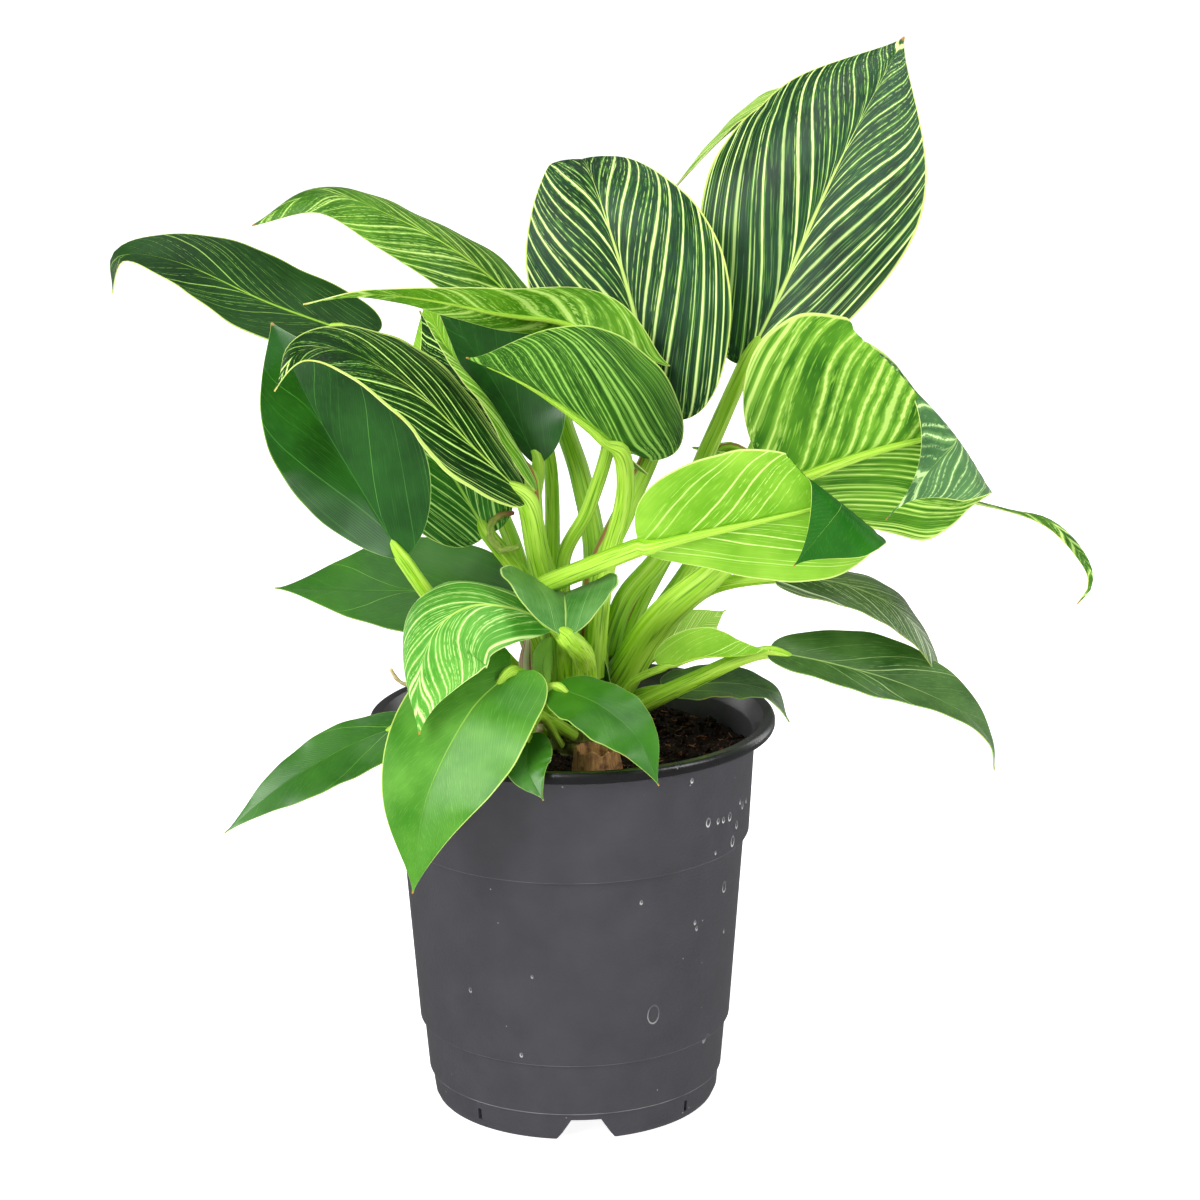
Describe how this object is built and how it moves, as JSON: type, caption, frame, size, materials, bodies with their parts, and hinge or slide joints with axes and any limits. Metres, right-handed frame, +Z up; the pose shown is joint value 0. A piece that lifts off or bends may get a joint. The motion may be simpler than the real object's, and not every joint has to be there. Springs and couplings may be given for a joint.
{
  "type": "potted philodendron",
  "caption": "Leafy philodendron with striped heart-shaped leaves on arching stalks, growing from soil in a round tapered nursery pot.",
  "frame": {"origin": "middle of the bounding box in plan, at the level of the pot's foot", "axes": "+Z up, the pot's axis is parallel to Z; the plant is seen from -Y with its widest spread along X"},
  "size_m": [0.355, 0.2022, 0.3891],
  "materials": {
    "pot_plastic": "satin dark grey moulded plastic with dried water marks",
    "peat": "damp dark peat with brown fibres",
    "stem": "olive green stem, slightly glossy",
    "bark": "dry papery brown",
    "leaf_striped": "waxy green leaf with cream stripes along its side veins",
    "leaf_plain": "waxy plain green leaf",
    "leaf_lime": "lime green leaf underside with pale veins",
    "sheath": "pale green sheath",
    "root": "pale dry root"
  },
  "bodies": {
    "root": {"pot": "pot_plastic", "soil": "peat", "stem_main": "stem", "stem_right": "stem", "stem_left": "stem", "stump_cut": "bark", "leaf_crown_right": "leaf_striped", "leaf_crown_back": "leaf_striped", "leaf_upper_middle": "leaf_striped", "leaf_upper_left_arched": "leaf_striped", "leaf_far_left": "leaf_striped", "leaf_middle_reaching_left": "leaf_striped", "leaf_middle_cupped": "leaf_striped", "leaf_left_striped": "leaf_striped", "leaf_left_plain_large": "leaf_plain", "leaf_left_striped_inner": "leaf_striped", "leaf_low_left_plain": "leaf_plain", "leaf_middle_dark": "leaf_plain", "leaf_middle_pale_back": "leaf_lime", "leaf_middle_striped_inner": "leaf_striped", "leaf_right_rolled": "leaf_striped", "leaf_right_long_tail": "leaf_striped", "leaf_front_lime": "leaf_lime", "leaf_right_arched": "leaf_striped", "leaf_right_low_plain": "leaf_plain", "leaf_right_small_pale": "leaf_lime", "leaf_right_over_rim": "leaf_plain", "leaf_right_small_back": "leaf_lime", "leaf_front_left_striped": "leaf_striped", "leaf_front_small_cupped": "leaf_plain", "leaf_front_left_plain": "leaf_plain", "leaf_front_small_plain": "leaf_plain", "leaf_front_tiny": "leaf_plain", "leaf_low_left_over_rim": "leaf_plain", "sheath_streaked": "sheath", "bud_cupped": "sheath", "leaf_spear": "leaf_plain", "aerial_root_left": "root", "dried_sheath_curl": "bark", "root_stub": "root"}
  },
  "joints": []
}
